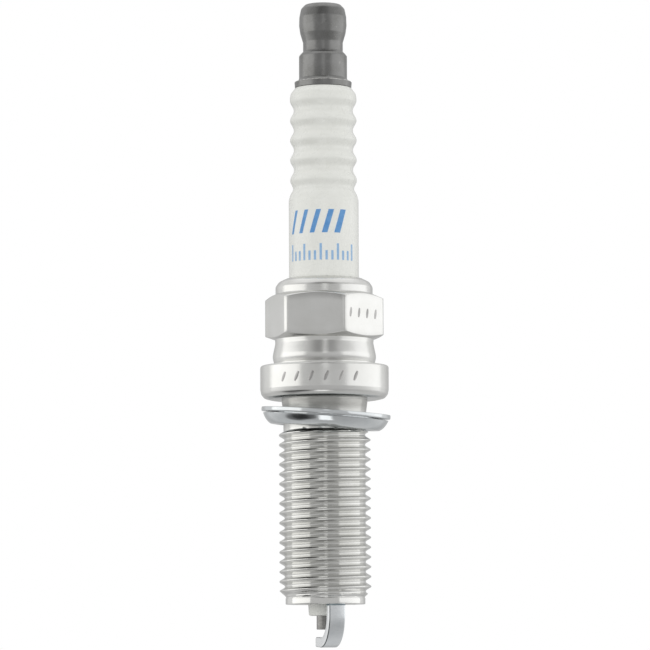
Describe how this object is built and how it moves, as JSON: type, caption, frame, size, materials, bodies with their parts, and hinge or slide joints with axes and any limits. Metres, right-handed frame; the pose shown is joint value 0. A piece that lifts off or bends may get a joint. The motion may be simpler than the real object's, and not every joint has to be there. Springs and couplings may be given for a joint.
{
  "type": "spark plug",
  "caption": "Long-reach motorcycle spark plug with ribbed insulator, solid terminal, hexagon shell, loose folded gasket, threaded body and a hooked ground electrode that sets the spark gap.",
  "frame": {"origin": "on the plug's axis, in the plane of the shell's gasket seat; everything that goes into the cylinder head is below it", "axes": "+Z along the plug's axis towards the terminal; the ground electrode stands at the -Y side, 17 degrees towards +X"},
  "size_m": [0.0168, 0.0166, 0.083],
  "materials": {
    "dark_steel": "satin",
    "glazed_alumina": "gloss",
    "copper_glass": "satin",
    "carbon_glass": "matte",
    "electrode_alloy": "satin",
    "copper": "satin",
    "nickel_plate": "polished",
    "soft_steel": "satin",
    "talc": "matte",
    "nickel_alloy": "satin",
    "bright_zinc": "polished"
  },
  "bodies": {
    "plug": {"terminal_stud": "dark_steel", "insulator": "glazed_alumina", "upper_glass_seal": "copper_glass", "resistor": "carbon_glass", "lower_glass_seal": "copper_glass", "centre_electrode": "electrode_alloy", "centre_electrode_core": "copper", "shell": "nickel_plate", "upper_packing_ring": "soft_steel", "talc_packing": "talc", "lower_packing_ring": "soft_steel", "seat_packing": "soft_steel", "ground_electrode": "nickel_alloy"},
    "gasket_ring": {"gasket": "bright_zinc"}
  },
  "joints": [
    {"name": "gasket_seating", "type": "hinge", "parent": "plug", "child": "gasket_ring", "pos_m": [-0.016, 0.00756, 0], "axis": [-0.4274, -0.9041, 0], "range_deg": [0, 4.6]}
  ]
}
